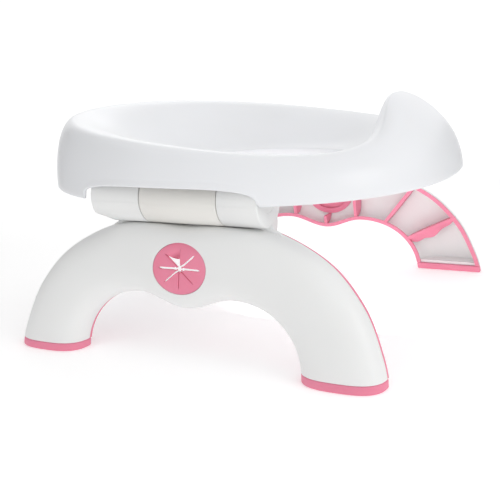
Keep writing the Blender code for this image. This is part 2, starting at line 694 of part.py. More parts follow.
def put_origin_on_hinge(obj, side):
    """Moves the object's origin to the hinge axis, leaving its shape in place."""
    origin = np.array((side * HINGE_X, LEG_Y, HINGE_Z)) * MM
    obj.data.transform(Matrix.Translation(-origin))
    obj.location = origin


def main():
    make_seat_shell()
    for side, tag in ((-1, "left"), (1, "right")):
        moving = [make_leg_shell(side, tag), make_grip_liner(side, tag), make_slit_disc(side, tag)]
        for way, end in ((-1, "front"), (1, "rear")):
            moving.append(make_foot_pad(side, tag, way, end))
            moving.append(make_cap(side, tag, way, end))
            make_washer(side, tag, way, end)
        make_hinge_block(side, tag)
        make_pin(side, tag)
        make_plunger(side, tag)
        make_spring(side, tag)
        for number in (1, 2, 3):
            make_screw(side, tag, number)
        for obj in moving:
            put_origin_on_hinge(obj, side)


main()
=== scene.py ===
"""The looks of the folding travel potty chair: fine mouldings, soft trim, materials, studio and camera.

Lengths are in millimetres until a mesh is made. The frame gives the places: the seat's box, the
hinge axes and the feet. The shapes use the design's own formulas, with more points, rounded edges
and soft details.
"""

import json
import math

import bmesh
import bpy
import numpy as np
from mathutils import Matrix, Vector


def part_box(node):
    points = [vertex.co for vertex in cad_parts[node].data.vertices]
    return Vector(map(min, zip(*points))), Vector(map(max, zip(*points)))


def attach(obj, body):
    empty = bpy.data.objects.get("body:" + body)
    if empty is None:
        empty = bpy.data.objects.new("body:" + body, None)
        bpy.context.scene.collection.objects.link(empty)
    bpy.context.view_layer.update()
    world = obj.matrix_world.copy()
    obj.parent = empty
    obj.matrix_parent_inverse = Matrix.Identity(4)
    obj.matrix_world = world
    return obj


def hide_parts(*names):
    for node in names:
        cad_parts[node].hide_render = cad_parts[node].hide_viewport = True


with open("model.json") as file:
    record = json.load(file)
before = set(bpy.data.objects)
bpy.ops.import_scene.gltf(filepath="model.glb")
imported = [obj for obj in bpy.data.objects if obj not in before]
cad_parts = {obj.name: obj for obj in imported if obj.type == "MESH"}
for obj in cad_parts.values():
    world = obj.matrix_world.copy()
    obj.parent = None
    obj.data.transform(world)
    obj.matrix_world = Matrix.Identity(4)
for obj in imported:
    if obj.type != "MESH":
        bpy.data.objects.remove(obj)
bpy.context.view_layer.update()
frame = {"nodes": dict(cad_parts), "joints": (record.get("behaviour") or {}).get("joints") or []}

MM = 0.001
GAP = 0.3
OVERCUT = 2.0
QUARTER = math.pi / 2


def box_mm(node):
    """The lowest and highest corners of a CAD node, in millimetres."""
    low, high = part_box(node)
    return np.array(low) / MM, np.array(high) / MM


FOOT_LOW, FOOT_HIGH = box_mm("foot_pad_rear_right")
BLOCK_LOW, BLOCK_HIGH = box_mm("hinge_block_right")

# Seat
SEAT_HALF_WIDTH = 156.0
SEAT_HALF_LENGTH = box_mm("seat_shell")[1][1]
SKIRT_BOTTOM = 118.4
CREST_HALF_WIDTH = SEAT_HALF_WIDTH - 18.0
CREST_HALF_LENGTH = SEAT_HALF_LENGTH - 16.0
CREST_HEIGHT = 157.4
CREST_RISE_TO_REAR = 0.115
SKIRT_SQUARENESS = 2.24
CREST_SQUARENESS = 2.17
SHOULDER_SQUARENESS = 2.1
GUARD_SQUARENESS = 1.6
SEAT_WALL = 2.6
OPENING_HALF_WIDTH = 67.0
OPENING_HALF_LENGTH = 81.0
OPENING_CENTRE_Y = -14.0
OPENING_EDGE = 128.0
LIP_DROP = 9.5
LIP_INSET = 0.032
GUARD_RISE = 41.9
GUARD_SETBACK = 30.0
GUARD_HALF_ANGLE = math.radians(22.0)
GUARD_FALLOFF = 2.6
GUARD_TAIL = 0.05
NOTCH_CENTRE_Y = 3.6
NOTCH_HALF_LENGTH = 73.2
NOTCH_HEIGHT = 13.0
NOTCH_SQUARENESS = 3.3
SKIRT_BEAD = 0.9
BEAD_FADE = 1.7
SHOULDER_ROWS = 44
DISH_ROWS = 41
LIP_ROWS = 8
SEAT_STEPS = 240
NOTCH_STEPS = 61
SMALLEST_STEP = 0.0008

# Legs
LEG_Y = (FOOT_HIGH[1] + box_mm("foot_pad_front_right")[0][1]) / 2
LEG_HEIGHT = 99.0
LEG_SPLAY = math.tan(math.radians(11.3))
RIM_X_AT_TOP = 121.0
LEG_DEPTH = 21.4
LEG_ROUNDNESS = 2.8
SHOULDER_ROUNDNESS = 5.0
SHOULDER_HALF_LENGTH = 66.0
LEG_WALL = 2.7
LEG_OUTER = [
    (152.2, 0.0), (145.5, 26.0), (132.5, 52.0), (108.0, 77.3), (69.6, 95.6), (32.6, 100.8), (0.0, 99.0)
]
ARCH_HALF_WIDTH = 91.9
ARCH_TOP_Y = 38.2
ARCH_TOP = 48.2
ARCH_MIDDLE = 38.9
ARCH_ROUNDNESS = 2.1
PAD_HEIGHT = FOOT_HIGH[2] - FOOT_LOW[2]
HALF_STATIONS = 60
SECTION_STEPS = 36
OUTLINE_ROOM = 0.6

# Soft trim
RIM_DEPTH = 2.5
RIM_THINNING = 1.5
RIM_THINS_FROM = 62.0
RIM_THINS_OVER = 34.0
RIM_WIDTH = 3.4
RIM_PLAY = 0.15
RIB_THICKNESS = 3.0
RIB_RECESS = 0.4
RIBS = [((32.4, 40.0), (32.4, 104.0)), ((57.0, 40.5), (92.0, 83.0)), ((77.0, 27.6), (140.0, 59.0))]
FLAP_SPAN = (0.1, 0.86)
FLAP_LENGTH = 9.0
FLAP_THICKNESS = 1.5
FLAP_DEPTH = 1.9
DISC_HEIGHT = 71.2
DISC_HALF_WIDTH = 21.9
DISC_HALF_HEIGHT = 18.1
DISC_FLANGE = 2.6
DISC_THICKNESS = 1.7
SLIT_REACH = 0.8
SLIT_WIDTHS = [1.7, 0.95, 0.75, 1.3, 1.7, 0.95, 0.8, 0.9]
SLIT_FLOORS = [1.7, 0.04, 0.04, 1.3, 1.7, 0.04, 0.04, 0.9]
FLAP_BENDS = [0.8, 11.0, 1.0, 0.6, 0.4, 0.5, 0.6, 0.5]
FLAPS = len(SLIT_WIDTHS)
FLAP_STEPS = 12
FLAP_ROWS = 14
RING_ROWS = 5
TIP_TRIM = 1.7
TIP_REACH = 0.12
BEND_SHIFT = 0.42

# Hinges
HINGE = next(joint["pos_m"] for joint in frame["joints"] if joint["child"] == "leg_right")
HINGE_X, _, HINGE_Z = (float(place) for place in np.array(HINGE) / MM)
KNUCKLE_RADIUS = BLOCK_HIGH[0] - HINGE_X
NOTCH_INNER_X = KNUCKLE_RADIUS + HINGE_X - 12.0
FIXED_HALF_LENGTH = (BLOCK_HIGH[1] - BLOCK_LOW[1]) / 2
SEAM = 1.2
SEAM_LIP = 0.5
KNUCKLE_EDGE = 1.2
LIP_INNER_RADIUS = 16.6
BARREL_ENDS = {-1: 63.6, 1: 74.6}
BARREL_HEEL = [
    (76.4, 110.4), (80.0, 110.4), (80.0, 90.0), (62.4, 90.0), (62.4, 100.0), (63.6, 102.4),
    (66.0, 104.4), (69.4, 105.8), (72.6, 107.2), (74.6, 108.6)
]
BARREL_SIDES = 96
GROOVE_REACH = 80.0
BORE_REACH = 90.0
PIN_RADIUS = 4.0
CAP_RADIUS = 8.0
CAP_THICKNESS = 3.0
LUG_ENDS = {-1: 62.6, 1: 60.3}
LUG_PROFILE = [
    (127.2, 86.0), (127.2, 118.0), (110.6, 118.0), (110.8, 112.0), (111.2, 106.0), (111.6, 101.0),
    (112.4, 97.4), (114.2, 94.2), (117.0, 92.2), (120.4, 91.2), (124.0, 90.6), (125.9, 86.0)
]
LUG_FLARE_X = (124.0, 127.2)
LUG_FLARE = [(0.0, 104.5), (1.0, 101.8), (2.6, 99.9), (5.0, 98.2), (8.0, 96.4), (11.0, 94.2)]
BLOCK_TOP = 133.0
BLOCK_FLANGE = 3.5
BLOCK_INNER_X = 97.0
BLOCK_WAIST_X = 112.5
BLOCK_OUTER_X = 142.0
BOSS_X = 104.0
BOSS_SPACING = 22.0
BOSS_RADIUS = 4.5
BOSS_EDGE = 0.4
BOSS_SIDES = 40
SCREW_RADIUS = 1.9
SCREW_HEAD = [(-1.8, 2.2), (-1.6, 3.0), (-1.1, 3.45), (-0.5, 3.6), (0.0, 3.6)]
THREAD_DEPTH = 0.35
THREAD_PITCH = 0.9
THREADED_LENGTH = 7.0
PLUNGER_RADIUS = 3.0
PLUNGER_UP = 13.0
PLUNGER_POCKET = 18.0

# Studio and camera
CAMERA_PLACE = (-0.6298, -0.3155, 0.2282)
CAMERA_YAW = math.radians(27.59)
CAMERA_PITCH = math.radians(14.33)
CAMERA_ROLL = math.radians(-3.26)
CAMERA_LENS = 59.72
LIGHT_AIM = (0.0, 0.0, 0.1)
LAMPS = [
    ("overhead", (0.35, 0.0, 1.5), LIGHT_AIM, 1.6, 1.8),
    ("window", (-0.35, -1.5, 0.8), LIGHT_AIM, 0.9, 4.4),
    ("edge", (1.2, 0.9, 0.9), LIGHT_AIM, 0.9, 1.0),
]
WORLD_STRENGTH = 0.81
FLOOR_GLOW = 0.26


# ---------------------------------------------------------------- materials


def new_material(name):
    material = bpy.data.materials.new(name)
    material.use_nodes = True
    nodes = material.node_tree.nodes
    return material, nodes, material.node_tree.links, nodes["Principled BSDF"]


def add_noise(nodes, links, scale, detail, stretch=(1.0, 1.0, 1.0)):
    """A noise texture in object space, stretched along an axis where a process left a direction."""
    place = nodes.new("ShaderNodeTexCoord")
    mapping = nodes.new("ShaderNodeMapping")
    mapping.inputs["Scale"].default_value = stretch
    noise = nodes.new("ShaderNodeTexNoise")
    noise.inputs["Scale"].default_value = scale
    noise.inputs["Detail"].default_value = detail
    links.new(place.outputs["Object"], mapping.inputs["Vector"])
    links.new(mapping.outputs["Vector"], noise.inputs["Vector"])
    return noise


def add_colour(nodes, links, shader, source, low, high):
    """A base colour that wanders between two tones."""
    ramp = nodes.new("ShaderNodeValToRGB")
    for stop, position, tone in zip(ramp.color_ramp.elements, (0.35, 0.65), (low, high)):
        stop.position = position
        stop.color = (*tone, 1.0)
    links.new(source, ramp.inputs["Fac"])
    links.new(ramp.outputs["Color"], shader.inputs["Base Color"])


def add_roughness(nodes, links, shader, source, low, high):
    spread = nodes.new("ShaderNodeMapRange")
    spread.inputs["To Min"].default_value = low
    spread.inputs["To Max"].default_value = high
    links.new(source, spread.inputs["Value"])
    links.new(spread.outputs["Result"], shader.inputs["Roughness"])


def add_bump(nodes, links, shader, source, strength, distance):
    bump = nodes.new("ShaderNodeBump")
    bump.inputs["Strength"].default_value = strength
    bump.inputs["Distance"].default_value = distance
    links.new(source, bump.inputs["Height"])
    links.new(bump.outputs["Normal"], shader.inputs["Normal"])


def moulded_plastic(
    name, tint, shade, roughness, grain, grain_strength, coat=0.0, scatter=0.05, shine=0.4
):
    """Injection-moulded plastic: slow colour drift, uneven gloss and a fine grain in the surface."""
    material, nodes, links, shader = new_material(name)
    drift = add_noise(nodes, links, 9.0, 2.0)
    add_colour(nodes, links, shader, drift.outputs["Fac"], shade, tint)
    gloss = add_noise(nodes, links, 60.0, 5.0)
    add_roughness(nodes, links, shader, gloss.outputs["Fac"], roughness[0], roughness[1])
    fine = add_noise(nodes, links, grain, 6.0)
    add_bump(nodes, links, shader, fine.outputs["Fac"], grain_strength, 0.0002)
    shader.inputs["Subsurface Weight"].default_value = scatter
    shader.inputs["Subsurface Radius"].default_value = (1.0, 0.9, 0.8)
    shader.inputs["Subsurface Scale"].default_value = 0.002
    shader.inputs["Coat Weight"].default_value = coat
    shader.inputs["Coat Roughness"].default_value = 0.08
    shader.inputs["Specular IOR Level"].default_value = shine
    shader.inputs["IOR"].default_value = 1.5
    return material


def soft_rubber(name, tint, shade):
    """Overmoulded soft rubber: matt, slightly translucent, with a dusty micro grain."""
    material, nodes, links, shader = new_material(name)
    drift = add_noise(nodes, links, 22.0, 3.0)
    add_colour(nodes, links, shader, drift.outputs["Fac"], shade, tint)
    gloss = add_noise(nodes, links, 140.0, 6.0)
    add_roughness(nodes, links, shader, gloss.outputs["Fac"], 0.42, 0.6)
    fine = add_noise(nodes, links, 1600.0, 4.0)
    add_bump(nodes, links, shader, fine.outputs["Fac"], 0.22, 0.00015)
    shader.inputs["Subsurface Weight"].default_value = 0.12
    shader.inputs["Subsurface Radius"].default_value = (1.0, 0.35, 0.4)
    shader.inputs["Subsurface Scale"].default_value = 0.0025
    shader.inputs["IOR"].default_value = 1.45
    return material


def bright_steel(name, stretch):
    """Drawn steel wire or rod, with fine lines along the way it was drawn."""
    material, nodes, links, shader = new_material(name)
    drawn = add_noise(nodes, links, 900.0, 6.0, stretch)
    add_colour(nodes, links, shader, drawn.outputs["Fac"], (0.5, 0.5, 0.52), (0.66, 0.66, 0.67))
    add_roughness(nodes, links, shader, drawn.outputs["Fac"], 0.18, 0.36)
    add_bump(nodes, links, shader, drawn.outputs["Fac"], 0.08, 0.0001)
    shader.inputs["Metallic"].default_value = 1.0
    return material


GLOSS_WHITE = moulded_plastic(
    "gloss_white_plastic", (0.85, 0.86, 0.885), (0.825, 0.835, 0.855), (0.26, 0.36), 420.0, 0.05,
    coat=0.1, shine=0.28,
)
SATIN_WHITE = moulded_plastic(
    "satin_white_plastic", (0.86, 0.865, 0.86), (0.835, 0.84, 0.835), (0.34, 0.46), 1300.0, 0.16
)
WARM_WHITE = moulded_plastic(
    "warm_white_plastic", (0.84, 0.83, 0.795), (0.81, 0.795, 0.76), (0.3, 0.42), 1300.0, 0.12
)
SOFT_PINK = soft_rubber("soft_pink_rubber", (0.87, 0.275, 0.395), (0.83, 0.245, 0.36))
STEEL = bright_steel("drawn_steel", (1.0, 0.05, 1.0))
SCREW_STEEL = bright_steel("rolled_steel", (1.0, 1.0, 0.2))
ACETAL = moulded_plastic(
    "natural_acetal", (0.8, 0.78, 0.7), (0.74, 0.72, 0.64), (0.38, 0.5), 900.0, 0.1, scatter=0.2
)


# ---------------------------------------------------------------- mesh tools


def make_object(name, bm, material=None):
    """A smooth object from a bmesh in millimetres."""
    bmesh.ops.scale(bm, vec=(MM, MM, MM), verts=bm.verts)
    bmesh.ops.recalc_face_normals(bm, faces=bm.faces)
    mesh = bpy.data.meshes.new(name)
    bm.to_mesh(mesh)
    bm.free()
    mesh.shade_smooth()
    obj = bpy.data.objects.new(name, mesh)
    if material:
        mesh.materials.append(material)
    bpy.context.scene.collection.objects.link(obj)
    return obj


def skin(bm, rows, closed_rows=False, closed_columns=False):
    """Quads through a grid of points. Returns the vertices, row by row."""
    verts = [[bm.verts.new(point) for point in row] for row in rows]
    row_pairs = list(zip(verts, verts[1:]))
    if closed_rows:
        row_pairs.append((verts[-1], verts[0]))
    for lower, upper in row_pairs:
        count = len(lower)
        for i in range(0 if closed_columns else 1, count):
            bm.faces.new((lower[i - 1], lower[i], upper[i], upper[i - 1]))
    return verts


def loft(name, rings, material=None):
    """A closed body through rings of points, with flat ends."""
    bm = bmesh.new()
    verts = skin(bm, rings, closed_columns=True)
    bm.faces.new(verts[0])
    bm.faces.new(verts[-1])
    return make_object(name, bm, material)


def ring_about(centre, radius, axis, sides):
    turns = np.linspace(0, 2 * math.pi, sides, endpoint=False)
    flat, first, second = np.zeros(sides), radius * np.cos(turns), radius * np.sin(turns)
    columns = {"Y": (first, flat, second), "Z": (first, second, flat)}[axis]
    return np.stack(columns, axis=1) + centre


def turned(name, centre, axis, profile, material=None, sides=64):
    """A turned body along Y or Z from (distance along the axis, radius) pairs."""
    along = np.array({"Y": (0, 1, 0), "Z": (0, 0, 1)}[axis])
    rings = [ring_about(centre + along * at, radius, axis, sides) for at, radius in profile]
    return loft(name, rings, material)


def block(name, low, high):
    bm = bmesh.new()
    low, high = np.minimum(low, high), np.maximum(low, high)
    bmesh.ops.create_cube(bm, size=1.0)
    bmesh.ops.scale(bm, vec=high - low, verts=bm.verts)
    bmesh.ops.translate(bm, vec=(low + high) / 2, verts=bm.verts)
    return make_object(name, bm)


def combine(obj, operation, *others):
    """Joins the other bodies to obj, cuts them from it or keeps what they share, and removes them."""
    for other in others:
        modifier = obj.modifiers.new(operation, "BOOLEAN")
        modifier.operation = operation
        modifier.object = other
        modifier.solver = "MANIFOLD"
        apply_modifiers(obj)
        bpy.data.objects.remove(other, do_unlink=True)
    obj.data.polygons.foreach_set("material_index", [0] * len(obj.data.polygons))
    while len(obj.data.materials) > 1:
        obj.data.materials.pop(index=len(obj.data.materials) - 1)


def apply_modifiers(obj):
    bpy.context.view_layer.update()
    graph = bpy.context.evaluated_depsgraph_get()
    mesh = bpy.data.meshes.new_from_object(obj.evaluated_get(graph), depsgraph=graph)
    obj.modifiers.clear()
    obj.data = mesh


def soften(obj, width, angle=32.0, segments=3):
    """Rounds every sharp edge and evens out the shading."""
    weld = obj.modifiers.new("weld", "WELD")
    weld.merge_threshold = 0.00002
    bevel = obj.modifiers.new("bevel", "BEVEL")
    bevel.width = width * MM
    bevel.segments = segments
    bevel.limit_method = "ANGLE"
    bevel.angle_limit = math.radians(angle)
    bevel.use_clamp_overlap = True
    obj.modifiers.new("normals", "WEIGHTED_NORMAL").keep_sharp = False
    apply_modifiers(obj)
    obj.data.shade_smooth()


def mirrored(obj, name):
    """A copy on the other side of the chair."""
    bm = bmesh.new()
    bm.from_mesh(obj.data)
    bmesh.ops.scale(bm, vec=(-1, 1, 1), verts=bm.verts)
    bmesh.ops.reverse_faces(bm, faces=bm.faces)
    mesh = bpy.data.meshes.new(name)
    bm.to_mesh(mesh)
    bm.free()
    for material in obj.data.materials:
        mesh.materials.append(material)
    copy = bpy.data.objects.new(name, mesh)
    bpy.context.scene.collection.objects.link(copy)
    copy.data.shade_smooth()
    return copy


def place(obj, body, slot, *nodes):
    """Puts a piece on its body and in the place of its CAD nodes, which it hides. The slot is not used.
    """
    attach(obj, body)
    if nodes:
        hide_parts(*nodes)


def signed_power(value, exponent):
    return np.sign(value) * np.abs(value) ** exponent


def oval(angle, half_width, half_length, squareness):
    """A point of a superellipse: angle 0 is at +X and -90 degrees is at the front."""
    x = half_width * signed_power(np.cos(angle), 2 / squareness)
    return x, half_length * signed_power(np.sin(angle), 2 / squareness)


# ---------------------------------------------------------------- seat


def guard_share(angle):
    """1 at the top of the splash guard, falling to 0 round the sides."""
    from_front = abs((angle + math.pi / 2 + math.pi) % (2 * math.pi) - math.pi)
    share = 1 / (1 + (from_front / GUARD_HALF_ANGLE) ** GUARD_FALLOFF)
    return share * share * (1 + GUARD_TAIL) / (share + GUARD_TAIL)


def notch_rise(y):
    """How far the skirt's edge is raised over the hinge, at a place along the skirt."""
    share = min(abs(y - NOTCH_CENTRE_Y) / NOTCH_HALF_LENGTH, 1.0)
    return NOTCH_HEIGHT * (1 - share**NOTCH_SQUARENESS) ** (1 / NOTCH_SQUARENESS)


def seat_section(angle):
    """Outer face of the seat at one angle: up the skirt, over the crest, down the dish, into the lip."""
    share = guard_share(angle)
    bottom_x, bottom_y = oval(angle, SEAT_HALF_WIDTH, SEAT_HALF_LENGTH, SKIRT_SQUARENESS)
    crest_x, level_y = oval(angle, CREST_HALF_WIDTH, CREST_HALF_LENGTH, CREST_SQUARENESS)
    crest_y = level_y * (1 - share * GUARD_SETBACK / CREST_HALF_LENGTH)
    crest_z = CREST_HEIGHT + CREST_RISE_TO_REAR * level_y + GUARD_RISE * share
    edge_x, edge_y = oval(angle, OPENING_HALF_WIDTH, OPENING_HALF_LENGTH, 2.0)
    edge_y += OPENING_CENTRE_Y
    squareness = SHOULDER_SQUARENESS + (GUARD_SQUARENESS - SHOULDER_SQUARENESS) * share
    height = crest_z - SKIRT_BOTTOM
    notch = notch_rise(bottom_y) if abs(bottom_x) > NOTCH_INNER_X else 0.0
    rise = SEAT_WALL / 2 + notch
    start = math.asin((rise / height) ** (squareness / 2))
    turn = start + (QUARTER - start) * np.linspace(0, 1, SHOULDER_ROWS) ** 0.9
    out = np.cos(turn) ** (2 / squareness)
    up = np.sin(turn) ** (2 / squareness)
    out[-1], up[-1] = 0.0, 1.0
    shoulder = np.stack((
        crest_x + (bottom_x - crest_x) * out,
        crest_y + (bottom_y - crest_y) * out,
        SKIRT_BOTTOM + height * up,
    ), axis=1)
    fade = np.exp(-(((shoulder[:, 2] - shoulder[0, 2]) / BEAD_FADE) ** 2))
    shoulder[:, 0] += math.copysign(1.0, bottom_x) * (SKIRT_BEAD * notch / NOTCH_HEIGHT * fade)
    left = np.linspace(1, 0, DISH_ROWS + 1)[1:]
    dish = np.stack((
        edge_x + (crest_x - edge_x) * left,
        edge_y + (crest_y - edge_y) * left,
        OPENING_EDGE + (crest_z - OPENING_EDGE) * (left * left * (3 - 2 * left)),
    ), axis=1)
    sink = np.linspace(0, 1, LIP_ROWS + 1)[1:]
    inward = 1 - LIP_INSET * np.sin(sink * math.pi / 2)
    lip = np.stack((
        edge_x * inward,
        OPENING_CENTRE_Y + (edge_y - OPENING_CENTRE_Y) * inward,
        OPENING_EDGE - (LIP_DROP - SEAT_WALL / 2) * sink**1.4,
    ), axis=1)
    return np.concatenate((shoulder, dish, lip))


def seat_angles():
    """Even steps round the seat, with closer ones where the skirt's edge bends up at the notches."""
    angles = list(np.linspace(0, 2 * math.pi, SEAT_STEPS, endpoint=False))
    for share in np.linspace(-QUARTER, QUARTER, NOTCH_STEPS):
        y = NOTCH_CENTRE_Y + NOTCH_HALF_LENGTH * signed_power(math.sin(share), 2 / NOTCH_SQUARENESS)
        angle = math.asin(signed_power(y / SEAT_HALF_LENGTH, SKIRT_SQUARENESS / 2))
        angles += [angle % (2 * math.pi), math.pi - angle]
    angles = sorted(angles)
    kept = [angles[0]]
    for angle in angles[1:]:
        if angle - kept[-1] > SMALLEST_STEP:
            kept.append(angle)
    return kept


def half_round(edge, normal, onward, steps=6):
    """Rows that round off a wall's edge, from its outer face to its inner one."""
    rows = []
    for turn in np.linspace(0, math.pi, steps + 1)[1:-1]:
        swing = normal * (math.cos(turn) - 1) + onward * math.sin(turn)
        rows.append(edge + swing * SEAT_WALL / 2)
    return rows


def dish_height(x, y):
    """Height of the dish's upper face at a place near the seat's side."""
    angle = math.atan2(y - OPENING_CENTRE_Y * 0.6, abs(x))
    section = seat_section(angle)[SHOULDER_ROWS:SHOULDER_ROWS + DISH_ROWS]
    across = np.hypot(section[:, 0], section[:, 1])
    return float(np.interp(math.hypot(x, y), across[::-1], section[::-1, 2]))


def make_seat():
    """The seat's moulding, as one closed skin round its wall, with the screw bosses under its dish."""
    outer = np.array([seat_section(angle) for angle in seat_angles()]).transpose(1, 0, 2)
    along = np.roll(outer, -1, axis=1) - np.roll(outer, 1, axis=1)
    onward = np.gradient(outer, axis=0)
    normal = np.cross(along, onward)
    normal /= np.linalg.norm(normal, axis=2)[:, :, None]
    onward /= np.linalg.norm(onward, axis=2)[:, :, None]
    inner = outer - normal * SEAT_WALL
    rows = [*outer, *half_round(outer[-1], normal[-1], onward[-1])]
    rows += [*inner[::-1], *half_round(outer[0], normal[0], -onward[0])[::-1]]
    bm = bmesh.new()
    skin(bm, rows, closed_rows=True, closed_columns=True)
    seat = make_object("seat_moulding", bm, GLOSS_WHITE)
    place(seat, "seat", "gloss_white", "seat_shell")
    for side, way in (("left", -1), ("right", 1)):
        for number in (1, 2, 3):
            boss = make_boss(f"screw_boss_{number}_{side}", way * BOSS_X, boss_y(number))
            place(boss, "seat", "gloss_white")


def boss_y(number):
    return LEG_Y + (number - 2) * BOSS_SPACING


def make_boss(name, x, y):
    """A hollow screw boss from the hinge block's flange up into the dish."""
    centre = np.array((x, y, BLOCK_TOP + GAP))
    profile = [(0.0, SCREW_RADIUS), (0.0, BOSS_RADIUS - BOSS_EDGE), (BOSS_EDGE, BOSS_RADIUS)]
    rings = [ring_about(centre + (0, 0, at), radius, "Z", BOSS_SIDES) for at, radius in profile]
    for radius in (BOSS_RADIUS + BOSS_EDGE / 2, SCREW_RADIUS):
        ring = ring_about(centre, radius, "Z", BOSS_SIDES)
        ring[:, 2] = [dish_height(px, py) - SEAT_WALL / 2 for px, py in ring[:, :2]]
        rings.append(ring)
    bm = bmesh.new()
    skin(bm, rings, closed_rows=True, closed_columns=True)
    return make_object(name, bm, GLOSS_WHITE)


# ---------------------------------------------------------------- leg outline


def smooth_curve(points, steps):
    """A Catmull-Rom curve through the points, with its last tangent level."""
    points = [np.array(point) for point in points]
    padded = [points[1] * (1, -1), *points, points[-2] * (-1, 1)]
    curve = []
    for a, b, c, d in zip(padded, padded[1:], padded[2:], padded[3:]):
        for t in np.linspace(0, 1, steps, endpoint=False):
            square, cube = (2 * a - 5 * b + 4 * c - d) * t**2, (3 * b - a - 3 * c + d) * t**3
            curve.append(0.5 * (2 * b + (c - a) * t + square + cube))
    curve.append(points[-1])
    return np.array(curve)


def arch_curve(steps):
    """The inner outline from foot to middle: a quarter superellipse, then a wave down to the middle."""
    curve = []
    for turn in np.linspace(0, math.pi / 2, steps + 1):
        y, z = oval(turn, ARCH_HALF_WIDTH - ARCH_TOP_Y, ARCH_TOP, ARCH_ROUNDNESS)
        curve.append((ARCH_TOP_Y + y, z))
    for y in np.linspace(ARCH_TOP_Y, 0, steps + 1)[1:]:
        wave = (1 + math.cos(math.pi * y / ARCH_TOP_Y)) / 2
        curve.append((y, ARCH_TOP - (ARCH_TOP - ARCH_MIDDLE) * wave))
    return np.array(curve)


def inset(curve, distance):
    """The curve moved along its normals. A positive distance moves it to the left of its direction."""
    along = np.gradient(curve, axis=0)
    along[0] = (0.0, 1.0)
    along[-1] = (-1.0, 0.0)
    along /= np.linalg.norm(along, axis=1)[:, None]
    return curve + distance * np.stack((-along[:, 1], along[:, 0]), axis=1)


def resample(curve, foot, count):
    """Points at equal steps along the part of a curve that lies above the height foot."""
    first = int(np.argmax(curve[:, 1] > foot))
    if first:
        share = (foot - curve[first - 1, 1]) / (curve[first, 1] - curve[first - 1, 1])
        curve = np.vstack((curve[first - 1] + share * (curve[first] - curve[first - 1]), curve[first:]))
    length = np.concatenate(([0.0], np.cumsum(np.linalg.norm(np.diff(curve, axis=0), axis=1))))
    wanted = np.linspace(0, length[-1], count)
    return np.stack([np.interp(wanted, length, curve[:, k]) for k in (0, 1)], axis=1)


def leg_stations(wall, foot):
    """Pairs of outer and inner outline points, from the rear foot over the top to the front foot."""
    outer = resample(inset(smooth_curve(LEG_OUTER, 24), wall), foot, HALF_STATIONS + 1)
    inner = resample(inset(arch_curve(48), -wall), foot, HALF_STATIONS + 1)
    half = list(zip(outer, inner))
    return half + [(a * (-1, 1), b * (-1, 1)) for a, b in half[-2::-1]]


def leg_point(y, z, depth):
    """A point of the right leg, from its outline position and its depth outwards from the rim plane."""
    return RIM_X_AT_TOP + LEG_SPLAY * (LEG_HEIGHT - z) + depth, LEG_Y + y, z


def leg_block(name, near, wall=0.0, foot=0.0, top=None, flat=None, material=None):
    """A closed D-section body along the leg. With flat it is a plain slab from near to flat deep."""
    deep = LEG_DEPTH - wall
    if flat is None:
        section = [(turn, 0.0) for turn in np.linspace(0.0, math.pi, SECTION_STEPS + 1)]
    else:
        section = [(0.0, near), (0.0, flat), (math.pi, flat), (math.pi, near)]
    stations = leg_stations(wall, foot)
    if top is not None:
        stations = [stations[0], leg_stations(wall, top)[0]]
    rings = []
    for outer, inner in stations:
        middle, half = (outer + inner) / 2, (outer - inner) / 2
        ring = []
        for turn, depth in section:
            share = math.cos(turn)
            if flat is None:
                share, depth = shell_section(turn, outer, near, deep)
            elif top is None:
                depth = min(depth, band_depth(outer[1], flat)) if depth > 0 else depth
            ring.append(leg_point(*(middle + share * half), depth))
        rings.append(ring)
    return loft(name, rings, material)


def shoulder_share(y):
    """1 along the hinge, where the leg's upper edge is squarer, falling to 0 towards the feet."""
    return 1 / (1 + (abs(y) / SHOULDER_HALF_LENGTH) ** 12)


def shell_section(turn, outer, near, deep):
    """(share of the half height, depth) of the D section, turned from its upper to its lower edge."""
    roundness = LEG_ROUNDNESS
    if turn < QUARTER:
        roundness += (SHOULDER_ROUNDNESS - LEG_ROUNDNESS) * shoulder_share(outer[0])
    first = math.asin((max(near, 0.02) / deep) ** (roundness / 2))
    start, past = (first, turn) if turn < QUARTER else (QUARTER, turn - QUARTER)
    turn = start + past * (QUARTER - first) / QUARTER
    return float(signed_power(math.cos(turn), 2 / roundness)), deep * math.sin(turn) ** (2 / roundness)


def band_depth(height, flat):
    """The soft rim's depth, thinner over the top of the leg."""
    share = min(max((height - RIM_THINS_FROM) / RIM_THINS_OVER, 0.0), 1.0)
    return flat - RIM_THINNING * share * share * (3 - 2 * share)


def surface_depth(y, z):
    """How deep the leg's outer wall lies at an outline position near the leg's middle."""
    outer = np.interp(abs(y), *zip(*sorted(map(tuple, smooth_curve(LEG_OUTER, 12)[::-1]))))
    inner = np.interp(abs(y), *zip(*sorted(map(tuple, arch_curve(24)[::-1]))))
    share = (z - (outer + inner) / 2) / ((outer - inner) / 2)
    return LEG_DEPTH * (1 - min(abs(share), 0.999) ** LEG_ROUNDNESS) ** (1 / LEG_ROUNDNESS)


def hinge_cylinder(name, start, end, radius, material=None, edge=0.0, up=0.0):
    """A cylinder along the right hinge's axis between two distances from the leg's middle."""
    low, high = min(start, end), max(start, end)
    profile = [(low, radius), (high, radius)]
    if edge:
        turns = np.linspace(0, QUARTER, 5)
        corner = [(edge * (1 - math.cos(t)), radius - edge * (1 - math.sin(t))) for t in turns]
        profile = [(low + inward, out) for inward, out in corner]
        profile += [(high - inward, out) for inward, out in corner[::-1]]
    return turned(name, (HINGE_X, LEG_Y, HINGE_Z + up), "Y", profile, material, BARREL_SIDES)


# ---------------------------------------------------------------- legs


